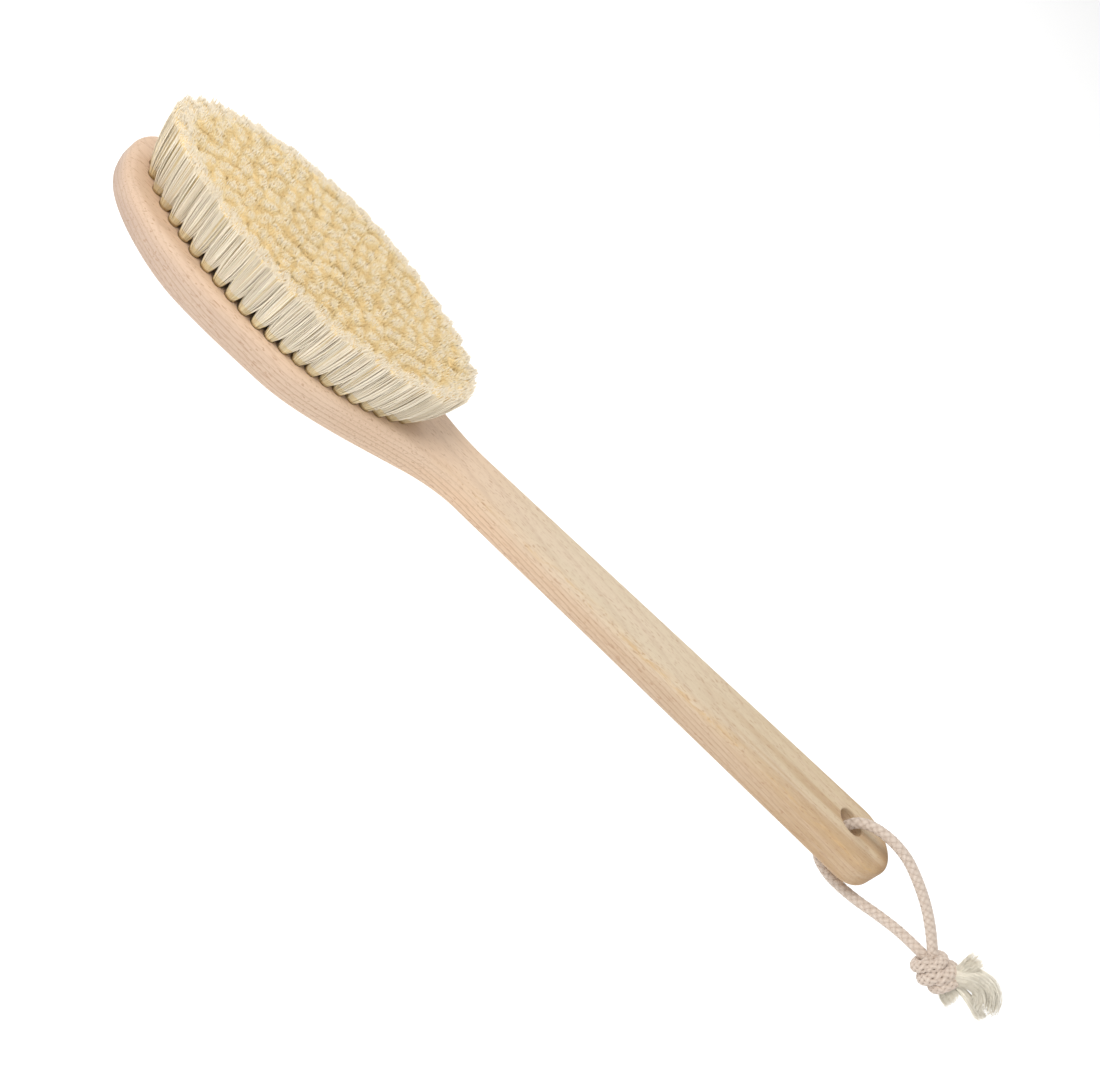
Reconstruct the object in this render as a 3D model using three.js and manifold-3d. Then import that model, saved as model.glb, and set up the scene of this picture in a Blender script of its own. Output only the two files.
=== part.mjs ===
// A long-handled body dry brush: a one-piece beech head and handle, rows of natural bristle tufts in
// blind holes, the flat-wire anchors that hold them, and a knotted cotton hanging cord.
// Millimetres. X runs from the nose (-X) to the hanging end (+X), Y across the brush, and +Z points
// out of the bristle side. The origin is the centre of the flat land on the back of the head.
import * as THREE from "three";
import { mergeVertices } from "three/addons/utils/BufferGeometryUtils.js";
import Module from "manifold-3d";

const wasm = await Module();
wasm.setup();

// Wooden body
const LENGTH = 398.5; // nose to hanging end, wood only
const NOSE = 73.5; // bristle field centre to nose
const NOSE_POWER = 2.5; // superellipse power of the nose in plan: 2 is an ellipse, more is blunter
const HEAD_WIDTH = 75;
const SHOULDER_X = 8; // where the head starts to narrow
const NECK_X = 97; // where it has narrowed to the handle
const NECK_WIDTH = 25;
const END_WIDTH = 32.5; // handle width where its rounded end starts
const END_ROUND = 16; // length of the rounded end
const HEAD_DEPTH = 16.5; // front face to back land
const NOSE_DEPTH = 11.5;
const NECK_DEPTH = 13.2;
const END_DEPTH = 15.4;
const LAND_HALF = 30; // the back is flat this far each way from the origin
const FRONT_ROUND = 3.2; // edge radius round the front face
const BACK_ROUND = 5; // edge radius round the back, on the handle and at the nose
const BELLY_ROUND = 3.6; // what the head adds to that radius

// Bristle field
const RING_HALF = [63.5, 32.5]; // half axes of the outer ring of tufts, at the wood
const RING_POWER = 1.85; // superellipse power of that ring
const RING_TUFTS = 48;
const ROWS = 21; // rows across the head
const TUFT_PITCH = 7.6; // along a row
const END_ROW_COUNTS = [5, 4]; // tufts in the first two rows at each end
const BRISTLE = 23.5; // free bristle length
const TIP_HALF = [68, 36.5]; // half axes of that ring at the bristle tips
const TIP_SHIFT = -1.5; // how far the tips as a whole lean along X
const MOUTH_HALF = 1.35; // half width of a tuft where it leaves the wood
const ROOT_HALF = 0.7; // and at its bottom, just above its anchor
const ROOT_DEPTH = 7;
const TIP_HALF_ACROSS = 2.9; // half thickness of a row at the tips, where its neighbours leave room
const ROW_GAP = 1; // between neighbouring rows at the tips
const ROW_END = 2.3; // how far a row's tips reach past its outermost tuft's middle
const MERGE = 0.6; // share of the bristle length where neighbours in a row grow together
const HOLE_RADIUS = 2.35;
const HOLE_DEPTH = 10.5;
const HOLE_SIDES = 6;

// Anchors: a short piece of flat wire driven across the bottom of a hole, its ends in the wood
const ANCHOR = [0.5, 5.4, 1.8]; // thickness, length and height
const ANCHOR_DEPTH = 9.2; // front face to the anchor's middle
const ANCHOR_ROOM = 0.3; // space round the anchor in its slot

// Hanging hole, cord, knot and frayed ends
const HANG_INSET = 23.5; // hole centre to the end of the handle
const HANG_RADIUS = 6;
const HANG_CHAMFER = 0.8;
const CORD_RADIUS = 2.2;
const CORD_TURN = -20; // degrees about the hole's axis that the cord hangs away from +X
// The loop in its own plane: distance out from the hole's axis, then height over the front face.
const LOOP = [
  [56.5, -4.4], [50, -0.2], [42, 3.8], [33, 7], [24, 9.1], [16, 9], [9, 7.2], [4, 4.4], [0.8, 0],
  [0, -7.7], [0.8, -15.4], [4, -20], [10.5, -21.6], [18, -21], [27, -18.6], [36, -15.3],
  [46, -12.2], [56.5, -10],
];
const KNOT_AT = [67, -9.4];
const KNOT_RADIUS = 4.6;
const FLUFFED_END = [[70, 1.4], [74, 7.2], [84, 7.8], [91, 0.4]];
const FRAYED_END = [[77, -10.3], [84, -9.4], [91.5, -7.2]];
const FLUFFED_HALF = [2.2, 4]; // half thickness and half width
const FRAYED_HALF = [1.6, 2.2];

const FRONT = HEAD_DEPTH; // height of the front face
const TIP_X = LENGTH - NOSE;
const HANG_X = TIP_X - HANG_INSET;

const lerp = THREE.MathUtils.lerp;
const smooth = THREE.MathUtils.smoothstep;

const beech = new THREE.MeshStandardMaterial({ color: 0xe0bf9b, roughness: 0.62, metalness: 0 });
const bristle = new THREE.MeshStandardMaterial({ color: 0xefe2bd, roughness: 0.7, metalness: 0 });
const wire = new THREE.MeshStandardMaterial({ color: 0xb9b4a8, roughness: 0.35, metalness: 1 });
const cotton = new THREE.MeshStandardMaterial({ color: 0xe6dacb, roughness: 0.9, metalness: 0 });

const group = new THREE.Group();

// A closed geometry as a manifold solid, for cutting and joining.
function solid(geometry) {
  const bare = geometry.clone();
  bare.deleteAttribute("normal");
  bare.deleteAttribute("uv");
  const merged = mergeVertices(bare, 1e-4);
  return new wasm.Manifold(
    new wasm.Mesh({
      numProp: 3,
      vertProperties: merged.attributes.position.array,
      triVerts: new Uint32Array(merged.index.array),
    }),
  );
}

function geometryOf(manifold) {
  const mesh = manifold.getMesh();
  const geometry = new THREE.BufferGeometry();
  geometry.setAttribute("position", new THREE.BufferAttribute(mesh.vertProperties, 3));
  geometry.setIndex(new THREE.BufferAttribute(mesh.triVerts, 1));
  geometry.computeVertexNormals();
  return geometry;
}

const union = (solids) => solids.reduce((all, next) => all.add(next));

function addMesh(name, geometry, material) {
  const mesh = new THREE.Mesh(geometry, material);
  mesh.name = name;
  group.add(mesh);
  return mesh;
}

// Rings of points, each ring with the same count, skinned into a closed geometry. Neighbouring rings
// are joined by quads. Each end is closed by capFaces, or by a fan if that isn't given.
function skin(rings, capFaces) {
  const count = rings[0].length;
  const positions = rings.flat().flatMap((p) => [p.x, p.y, p.z]);
  const faces = [];
  for (let r = 0; r + 1 < rings.length; r++) {
    for (let i = 0; i < count; i++) {
      const j = (i + 1) % count;
      const [a, b, c, d] = [r * count + i, r * count + j, (r + 1) * count + j, (r + 1) * count + i];
      faces.push(a, b, c, a, c, d);
    }
  }
  const fan = [];
  for (let i = 1; i + 1 < count; i++) fan.push([0, i, i + 1]);
  const top = (rings.length - 1) * count;
  for (const [a, b, c] of capFaces ?? fan) {
    faces.push(c, b, a);
    faces.push(top + a, top + b, top + c);
  }
  const geometry = new THREE.BufferGeometry();
  geometry.setAttribute("position", new THREE.Float32BufferAttribute(positions, 3));
  geometry.setIndex(faces);
  return geometry;
}

// --- Wooden body -------------------------------------------------------------------------------

function halfWidth(x) {
  if (x < 0) return (HEAD_WIDTH / 2) * (1 - Math.abs(x / NOSE) ** NOSE_POWER) ** (1 / NOSE_POWER);
  if (x < NECK_X) return lerp(HEAD_WIDTH / 2, NECK_WIDTH / 2, smooth(x, SHOULDER_X, NECK_X));
  const taper = Math.min((x - NECK_X) / (TIP_X - END_ROUND - NECK_X), 1);
  const straight = lerp(NECK_WIDTH / 2, END_WIDTH / 2, taper);
  const intoEnd = Math.max(x - (TIP_X - END_ROUND), 0) / END_ROUND;
  return straight * Math.sqrt(1 - intoEnd ** 2);
}

// Front face to back face: thickest over the land, thinner at the nose and neck, thicker at the end.
function depth(x) {
  if (x < 0) return lerp(HEAD_DEPTH, NOSE_DEPTH, smooth(-x, LAND_HALF, NOSE));
  if (x < NECK_X) return lerp(HEAD_DEPTH, NECK_DEPTH, smooth(x, LAND_HALF, NECK_X));
  return lerp(NECK_DEPTH, END_DEPTH, (x - NECK_X) / (TIP_X - NECK_X));
}

// One side of the plan outline, nose to hanging end: evenly turned round the two ends, and closer
// together where the neck curves than along the straight handle.
function outlineStations() {
  const stations = [];
  const NOSE_STEPS = 11;
  const NECK_STEPS = 12;
  const HANDLE_STEPS = 4;
  const END_STEPS = 6;
  for (let i = 0; i < NOSE_STEPS; i++) {
    stations.push(-NOSE * Math.cos((i / NOSE_STEPS) * (Math.PI / 2)) ** (2 / NOSE_POWER));
  }
  for (let i = 0; i < NECK_STEPS; i++) stations.push((NECK_X * i) / NECK_STEPS);
  const straightEnd = TIP_X - END_ROUND;
  for (let i = 0; i < HANDLE_STEPS; i++) stations.push(lerp(NECK_X, straightEnd, i / HANDLE_STEPS));
  for (let i = 0; i <= END_STEPS; i++) {
    stations.push(straightEnd + END_ROUND * Math.sin((i / END_STEPS) * (Math.PI / 2)));
  }
  return stations;
}

function bodyGeometry() {
  const side = outlineStations().map((x) => new THREE.Vector2(x, halfWidth(x)));
  const last = side.length - 1;
  // Anticlockwise seen from +Z: out along -Y from the nose, back along +Y.
  const outline = [
    ...side.map((p) => new THREE.Vector2(p.x, -p.y)),
    ...side.slice(1, last).reverse(),
  ];
  const count = outline.length;
  const inward = outline.map((p, i) => {
    const before = outline[(i + count - 1) % count];
    const after = outline[(i + 1) % count];
    const along = after.clone().sub(before).normalize();
    return new THREE.Vector2(-along.y, along.x);
  });
  // Each ring is the outline moved in by `inset` at `share` of the depth, measured from the front.
  const ring = (turn, front) =>
    outline.map((p, i) => {
      const belly = smooth(-Math.abs(p.x), -NOSE, -LAND_HALF);
      const radius = front ? FRONT_ROUND : BACK_ROUND + BELLY_ROUND * belly;
      const inset = radius * (1 - Math.sin(turn));
      const drop = radius * (1 - Math.cos(turn));
      const at = p.clone().addScaledVector(inward[i], inset);
      const z = front ? FRONT - drop : FRONT - depth(at.x) + drop;
      return new THREE.Vector3(at.x, i === 0 || i === last ? 0 : at.y, z);
    });
  const FRONT_TURNS = [0, 0.5, 1];
  const BACK_TURNS = [0, 0.34, 0.67, 1];
  const rings = [
    ...BACK_TURNS.map((t) => ring((t * Math.PI) / 2, false)),
    ...FRONT_TURNS.map((t) => ring(((1 - t) * Math.PI) / 2, true)),
  ];
  // The flat faces are strips between mirrored outline points.
  const mirrored = (i) => (count - i) % count;
  const cap = [[0, 1, mirrored(1)]];
  for (let i = 1; i < last - 1; i++) {
    cap.push([i, i + 1, mirrored(i + 1)], [i, mirrored(i + 1), mirrored(i)]);
  }
  cap.push([last - 1, last, mirrored(last - 1)]);
  return skin(rings, cap);
}

// --- Where the tufts stand ---------------------------------------------------------------------

// Half of the outer ring, nose to neck, with its points evenly spaced along its own length.
function halfRing() {
  const STEPS = 64;
  const points = [];
  for (let i = 0; i <= STEPS; i++) {
    const t = (i / STEPS) * Math.PI;
    const c = Math.cos(t);
    const x = -RING_HALF[0] * Math.sign(c) * Math.abs(c) ** (2 / RING_POWER);
    points.push(new THREE.Vector2(x, RING_HALF[1] * Math.sin(t) ** (2 / RING_POWER)));
  }
  return new THREE.SplineCurve(points);
}

// Each row runs from one side of the ring to the other, bowed towards the nearer end of the head.
function rowsOfTufts() {
  const ring = halfRing();
  const rows = [];
  for (let k = 0; k < ROWS; k++) {
    const outer = ring.getPointAt((k + 2) / (RING_TUFTS / 2));
    const middleX = lerp(-RING_HALF[0], RING_HALF[0], k / (ROWS - 1));
    const fromEnd = Math.min(k, ROWS - 1 - k);
    const count = END_ROW_COUNTS[fromEnd] ?? Math.round((2 * outer.y) / TUFT_PITCH) + 1;
    const bowX = (y) => lerp(middleX, outer.x, Math.min(Math.abs(y / outer.y), 1) ** 2);
    const tufts = [];
    for (let i = 0; i < count; i++) {
      const y = lerp(-outer.y, outer.y, i / (count - 1));
      tufts.push({ x: bowX(y), y });
    }
    rows.push({ tufts, bowX, reach: outer.y + ROW_END });
  }
  return rows;
}

// Where the splayed field carries a place on the front face, at a share of the bristle length. Below
// the face the share is negative, and the holes draw together.
function splayed(x, y, share) {
  return new THREE.Vector3(
    x * lerp(1, TIP_HALF[0] / RING_HALF[0], share) + TIP_SHIFT * share,
    y * lerp(1, TIP_HALF[1] / RING_HALF[1], share),
    FRONT + BRISTLE * share,
  );
}

// --- Bristles ----------------------------------------------------------------------------------

// Half thickness of row k at the tips, at a place across the head: what the next rows leave free.
function tipHalfAcross(rows, k, y) {
  const tipX = (row) => splayed(row.bowX(y), y, 1).x;
  const beside = [rows[k - 1], rows[k + 1]].filter((row) => row && Math.abs(y) <= row.reach);
  const room = Math.min(...beside.map((row) => Math.abs(tipX(row) - tipX(rows[k]))));
  return Math.min(TIP_HALF_ACROSS, (room - ROW_GAP) / 2);
}

// A row is a comb: each tuft a tooth that stands in its hole and widens upwards, until the bristles
// of neighbours mingle. Its outline is drawn as place across the head against share of the bristle
// length, extruded from -1 to 1, and then bent into its splayed and bowed place.
function tuftRow(rows, k) {
  const { tufts, bowX } = rows[k];
  const rootShare = -ROOT_DEPTH / BRISTLE;
  const outline = [];
  tufts.forEach(({ y }, i) => {
    if (i > 0) outline.push([(tufts[i - 1].y + y) / 2, MERGE]);
    outline.push([y - MOUTH_HALF, 0], [y - ROOT_HALF, rootShare]);
    outline.push([y + ROOT_HALF, rootShare], [y + MOUTH_HALF, 0]);
  });
  const ends = [tufts[0].y - ROW_END, tufts.at(-1).y + ROW_END];
  outline.push([ends[1], 1], ...tufts.map(({ y }) => [y, 1]).reverse(), [ends[0], 1]);
  const shape = new THREE.Shape(outline.map((p) => new THREE.Vector2(...p)));
  const geometry = new THREE.ExtrudeGeometry(shape, { depth: 2, bevelEnabled: false });
  const place = geometry.attributes.position;
  for (let i = 0; i < place.count; i++) {
    const [y, share, side] = [place.getX(i), place.getY(i), place.getZ(i) - 1];
    const nearest = tufts.reduce((a, b) => (Math.abs(a.y - y) < Math.abs(b.y - y) ? a : b));
    const x = share <= 0 ? nearest.x : bowX(y);
    const half =
      share <= 0
        ? lerp(MOUTH_HALF, ROOT_HALF, share / rootShare)
        : lerp(MOUTH_HALF, tipHalfAcross(rows, k, y), share);
    const middle = splayed(x, y, share);
    place.setXYZ(i, middle.x + side * half, middle.y, middle.z);
  }
  return geometry;
}

// --- Holes and anchors -------------------------------------------------------------------------

function holeRing({ x, y }, share) {
  const middle = splayed(x, y, share);
  const points = [];
  for (let i = 0; i < HOLE_SIDES; i++) {
    const t = (i / HOLE_SIDES) * Math.PI * 2;
    const corner = new THREE.Vector3(Math.cos(t), Math.sin(t), 0);
    points.push(corner.multiplyScalar(HOLE_RADIUS).add(middle));
  }
  return points;
}

function holeSolid(tuft) {
  const OVER = 0.04; // share by which the cutter stands over the front face
  return solid(skin([holeRing(tuft, -HOLE_DEPTH / BRISTLE), holeRing(tuft, OVER)]));
}

// The anchor under a row's tuft nearest the middle of the head, grown by room on each side.
function anchorGeometry({ tufts }, room = 0) {
  const { x, y } = tufts[Math.floor(tufts.length / 2)];
  const middle = splayed(x, y, -ANCHOR_DEPTH / BRISTLE);
  const geometry = new THREE.BoxGeometry(...ANCHOR.map((side) => side + 2 * room));
  geometry.translate(middle.x, middle.y, middle.z);
  return geometry;
}

// --- Cord --------------------------------------------------------------------------------------

// A point of the cord's plane, given as distance out from the hole's axis and height over the front.
const cordPoint = ([out, height]) => new THREE.Vector3(out, 0, FRONT + height);

// An oval bar along a smooth curve in the cord's plane. Its half width lies across that plane.
function cordAlong(points, halfThick, halfWide, sides, steps) {
  const section = new THREE.Shape();
  for (let i = 0; i < sides; i++) {
    const t = (i / sides) * Math.PI * 2;
    const at = [halfThick * Math.cos(t), halfWide * Math.sin(t)];
    if (i === 0) section.moveTo(...at);
    else section.lineTo(...at);
  }
  const path = new THREE.CatmullRomCurve3(points.map(cordPoint), false, "centripetal");
  return new THREE.ExtrudeGeometry(section, { steps, bevelEnabled: false, extrudePath: path });
}

function knotGeometry() {
  const geometry = new THREE.TorusKnotGeometry(KNOT_RADIUS, CORD_RADIUS * 0.86, 48, 6, 2, 3);
  geometry.rotateX(Math.PI / 2);
  const middle = cordPoint(KNOT_AT);
  geometry.translate(middle.x, middle.y, middle.z);
  return geometry;
}

function hangHole() {
  const back = FRONT - depth(HANG_X);
  const flare = HANG_RADIUS + HANG_CHAMFER + 1;
  const profile = [
    [0, back - 1],
    [flare, back - 1],
    [HANG_RADIUS, back + HANG_CHAMFER],
    [HANG_RADIUS, FRONT - HANG_CHAMFER],
    [flare, FRONT + 1],
    [0, FRONT + 1],
  ];
  const geometry = new THREE.LatheGeometry(profile.map((p) => new THREE.Vector2(...p)), 20);
  geometry.rotateX(Math.PI / 2);
  geometry.translate(HANG_X, 0, 0);
  return geometry;
}

// --- Assembly ----------------------------------------------------------------------------------

const rows = rowsOfTufts();
const cuts = rows.flatMap((row) => [
  ...row.tufts.map(holeSolid),
  solid(anchorGeometry(row, ANCHOR_ROOM)),
]);
const carved = solid(bodyGeometry()).subtract(union([solid(hangHole()), ...cuts]));
addMesh("beech_body", geometryOf(carved), beech);

rows.forEach((row, k) => {
  const number = String(k + 1).padStart(2, "0");
  addMesh(`tuft_row_${number}`, tuftRow(rows, k), bristle);
  addMesh(`anchor_${number}`, anchorGeometry(row), wire);
});

const cord = new THREE.Group();
cord.position.set(HANG_X, 0, 0);
cord.rotation.z = THREE.MathUtils.degToRad(CORD_TURN);
group.add(cord);
cord.add(addMesh("hanging_cord", cordAlong(LOOP, CORD_RADIUS, CORD_RADIUS, 8, 30), cotton));
cord.add(addMesh("cord_knot", knotGeometry(), cotton));
cord.add(addMesh("cord_end_fluffed", cordAlong(FLUFFED_END, ...FLUFFED_HALF, 6, 7), cotton));
cord.add(addMesh("cord_end_frayed", cordAlong(FRAYED_END, ...FRAYED_HALF, 6, 4), cotton));

export default group;
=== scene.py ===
"""Looks of a long-handled body dry brush: a smooth beech body, splayed tufts of separate natural
bristles, a braided cotton cord with its knot, and frayed cord ends.

Sizes are in millimetres, in the row frame, until a mesh is made. X runs from the nose to the
hanging end and +Z out of the bristles."""

import math

import bpy
import numpy as np
from mathutils import Matrix, Vector


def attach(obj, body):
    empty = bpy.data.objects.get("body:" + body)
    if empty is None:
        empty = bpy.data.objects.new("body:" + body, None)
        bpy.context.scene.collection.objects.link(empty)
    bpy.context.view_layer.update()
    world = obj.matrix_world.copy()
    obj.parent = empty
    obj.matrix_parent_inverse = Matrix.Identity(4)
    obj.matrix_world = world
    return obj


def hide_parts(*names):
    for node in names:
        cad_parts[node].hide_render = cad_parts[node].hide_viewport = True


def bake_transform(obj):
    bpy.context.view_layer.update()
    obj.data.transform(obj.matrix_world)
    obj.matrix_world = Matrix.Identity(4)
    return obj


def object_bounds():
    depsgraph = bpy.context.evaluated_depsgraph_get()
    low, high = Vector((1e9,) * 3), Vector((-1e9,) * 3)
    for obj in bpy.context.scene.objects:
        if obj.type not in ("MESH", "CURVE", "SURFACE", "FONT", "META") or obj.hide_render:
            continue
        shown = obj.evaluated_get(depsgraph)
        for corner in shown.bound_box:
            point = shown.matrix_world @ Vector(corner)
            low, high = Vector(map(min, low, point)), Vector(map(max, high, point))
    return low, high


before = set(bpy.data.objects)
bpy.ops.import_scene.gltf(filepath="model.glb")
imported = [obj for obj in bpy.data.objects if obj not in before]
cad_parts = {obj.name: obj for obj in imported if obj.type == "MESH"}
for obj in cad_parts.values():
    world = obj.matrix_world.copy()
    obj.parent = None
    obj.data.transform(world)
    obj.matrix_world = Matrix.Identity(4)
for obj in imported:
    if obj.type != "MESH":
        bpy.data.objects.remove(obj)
cad_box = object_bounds()

MM = 0.001
rng = np.random.default_rng(20)
ANY_TURN = 6.3  # top of the range that a random direction is drawn from, in radians

# Wooden body
LENGTH, NOSE, NOSE_POWER = 398.5, 73.5, 2.5
HEAD_WIDTH, NECK_WIDTH, END_WIDTH = 75, 25, 32.5
SHOULDER_X, NECK_X, END_ROUND = 8, 97, 16
FRONT = 16.5  # height of the front face over the back land
NOSE_DEPTH, NECK_DEPTH, END_DEPTH, LAND_HALF = 11.5, 13.2, 15.4, 30
FRONT_ROUND, BACK_ROUND, BELLY_ROUND = 3.2, 5, 3.6
TIP_X = LENGTH - NOSE

# Growth rings: how far the pith lies beside and below the body, its lean and the rings' spacing
PITH_BESIDE, PITH_BELOW, PITH_LEAN, RING_SPACING = 16.0, 58.0, 0.05, 1.8

# Bristle field
RING_HALF, RING_POWER, RING_TUFTS = (63.5, 32.5), 1.85, 48
ROWS, TUFT_PITCH, END_ROW_COUNTS = 21, 7.6, (5, 4)
BRISTLE, TIP_HALF, TIP_SHIFT = 23.5, (68, 36.5), -1.5
HOLE_RADIUS, HOLE_DEPTH, HOLE_CHAMFER, CUT_PAST = 2.35, 10.5, 0.2, 0.12
BRISTLES_PER_TUFT = 250
BRISTLE_RADIUS = 0.18
TUFT_MOUTH = 2.05  # tuft radius where it leaves the wood
TUFT_TIP = (4.0, 4.6)  # half sizes of a tuft's splayed top, across and along its row
END_TUFT_GROWTH = 1.18  # extra width of the tufts at the two ends of the field
RIM_POWER = 1.9  # squareness of the field's rim, where the tips are palest
WAVE = 0.12  # how far a bristle bows between its ends
CROWDING = 0.42  # less than 0.5 crowds a tuft's bristles towards its outside
FLARE_POWER = 3  # a higher power brings a tuft to its full width closer to the wood
CLUMP_PULL = 0.06  # share of the way that bristles lean into their clump
CORE_WIDTH, CORE_HEIGHT = 0.82, 0.95  # a tuft's core against the tuft
FIBRE_SIDES, CORE_SIDES, YARN_SIDES = 3, 14, 8

# Hanging hole and cord
HANG_X = TIP_X - 23.5
HANG_RADIUS, HANG_FLARE = 6, 0.8
CORD_RADIUS = 2.2
CORD_TURN = math.radians(-20)  # how far the hanging cord is swung to one side
KNOT = (66.8, 0, -9.8)
SLANT = 1.4  # how far a band leans along the knot from one side of it to the other
YARN_HALF_THICK = 0.33
YARN_COVER = 0.54  # half a yarn's share of the braid's girth, over a half so that yarns overlap
WEAVE = 0.14  # how far a yarn rises and dips as it crosses the others
PLY_LENGTH = 0.9  # from one ply of a yarn to the next, along the braid
FIBRE_RADIUS = 0.12
ROOT_SHARE = 0.6  # width of a frayed end where it leaves the knot, against its far end


def smooth(x, low, high):
    t = np.clip((np.asarray(x, float) - low) / (high - low), 0, 1)
    return t * t * (3 - 2 * t)


def lerp(a, b, t):
    return a + (b - a) * t


def unit(v):
    return v / np.maximum(np.linalg.norm(v, axis=-1, keepdims=True), 1e-12)


# --- Meshes ---------------------------------------------------------------------------------------


def make_mesh(name, points, faces, materials, numbers=None, shade=None):
    """A smooth-shaded mesh object from points in mm and arrays of faces, each array with its own
    corner count. numbers holds one float per point for each attribute name, and shade one float
    per face, which picks the face's material from the first at 0 to the last at 1."""
    mesh = bpy.data.meshes.new(name)
    corners = np.concatenate([f.ravel() for f in faces]).astype(np.int32)
    sizes = np.concatenate([np.full(len(f), f.shape[1]) for f in faces]).astype(np.int32)
    starts = np.concatenate([[0], np.cumsum(sizes)[:-1]]).astype(np.int32)
    mesh.vertices.add(len(points))
    mesh.vertices.foreach_set("co", (np.asarray(points, float) * MM).ravel())
    mesh.loops.add(len(corners))
    mesh.loops.foreach_set("vertex_index", corners)
    mesh.polygons.add(len(sizes))
    mesh.polygons.foreach_set("loop_start", starts)
    mesh.polygons.foreach_set("use_smooth", np.ones(len(sizes), bool))
    for material in materials:
        mesh.materials.append(material)
    if shade is not None:
        pick = np.clip(shade * len(materials), 0, len(materials) - 1).astype(np.int32)
        mesh.polygons.foreach_set("material_index", pick)
    for key, values in (numbers or {}).items():
        layer = mesh.attributes.new(key, "FLOAT", "POINT")
        layer.data.foreach_set("value", np.asarray(values, np.float32).ravel())
    mesh.update(calc_edges=True)
    mesh.validate()
    obj = bpy.data.objects.new(name, mesh)
    bpy.context.scene.collection.objects.link(obj)
    return obj


def turned_frames(paths):
    """Two directions square to each path at each of its points, turning as little as possible."""
    tangents = unit(np.gradient(paths, axis=1))
    first = np.where(np.abs(tangents[:, 0, :1]) < 0.8, [[1.0, 0, 0]], [[0, 1.0, 0]])
    side = np.empty_like(paths)
    side[:, 0] = unit(first - (first * tangents[:, 0]).sum(-1, keepdims=True) * tangents[:, 0])
    for s in range(1, paths.shape[1]):
        last, t = side[:, s - 1], tangents[:, s]
        side[:, s] = unit(last - (last * t).sum(-1, keepdims=True) * t)
    return side, np.cross(tangents, side)


def tubes(paths, half_a, half_b, sides, frames=None):
    """Closed tubes along paths of shape (count, steps, 3). half_a and half_b are the half sizes of
    the oval section, along the two frame directions. Returns points and faces."""
    count, steps = paths.shape[:2]
    u, v = frames or turned_frames(paths)
    half_a = np.broadcast_to(half_a, (count, steps))
    half_b = np.broadcast_to(half_b, (count, steps))
    turn = np.arange(sides) * 2 * math.pi / sides
    ring = (
        paths[:, :, None]
        + u[:, :, None] * (half_a[:, :, None] * np.cos(turn))[..., None]
        + v[:, :, None] * (half_b[:, :, None] * np.sin(turn))[..., None]
    )
    index = np.arange(count * steps * sides).reshape(count, steps, sides)
    after = np.roll(index, -1, axis=2)
    quads = np.stack([index[:, :-1], after[:, :-1], after[:, 1:], index[:, 1:]], -1)
    caps = np.concatenate([index[:, 0, ::-1], index[:, -1]])
    return ring.reshape(-1, 3), [quads.reshape(-1, 4), caps]


def level_frames(paths):
    """Frames for tubes() that keep every section level."""
    return tuple(np.broadcast_to(axis, paths.shape) for axis in ([1.0, 0, 0], [0, 1.0, 0]))


def face_shades(tone, sides):
    """A shade for every face of tubes(), from the tone at each step of each path."""
    between = (tone[:, :-1] + tone[:, 1:]) / 2
    return np.concatenate([np.repeat(between.ravel(), sides), tone[:, 0], tone[:, -1]])


def merged(parts):
    """Points and faces of several tubes() results as one."""
    points, faces, first = [], [], 0
    for part_points, part_faces in parts:
        points.append(part_points)
        faces += [f + first for f in part_faces]
        first += len(part_points)
    return np.concatenate(points), faces


def smooth_path(points, spacing):
    """A smooth curve through points, as points evenly spaced along it."""
    p = np.asarray(points, float)
    p = np.concatenate([[2 * p[0] - p[1]], p, [2 * p[-1] - p[-2]]])
    t = np.linspace(0, 1, 24, endpoint=False)[:, None]
    pieces = [
        0.5
        * (
            2 * b
            + (c - a) * t
            + (2 * a - 5 * b + 4 * c - d) * t**2
            + (3 * b - a - 3 * c + d) * t**3
        )
        for a, b, c, d in zip(p[:-3], p[1:-2], p[2:-1], p[3:])
    ]
    fine = np.concatenate([*pieces, p[-2:-1]])
    along = np.concatenate([[0], np.cumsum(np.linalg.norm(np.diff(fine, axis=0), axis=1))])
    at = np.linspace(0, along[-1], max(int(along[-1] / spacing), 4))
    even = np.stack([np.interp(at, along, fine[:, i]) for i in range(3)], -1)
    for _ in range(4):
        even[1:-1] = (even[:-2] + 2 * even[1:-1] + even[2:]) / 4
    return even


# --- Materials ------------------------------------------------------------------------------------


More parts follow.
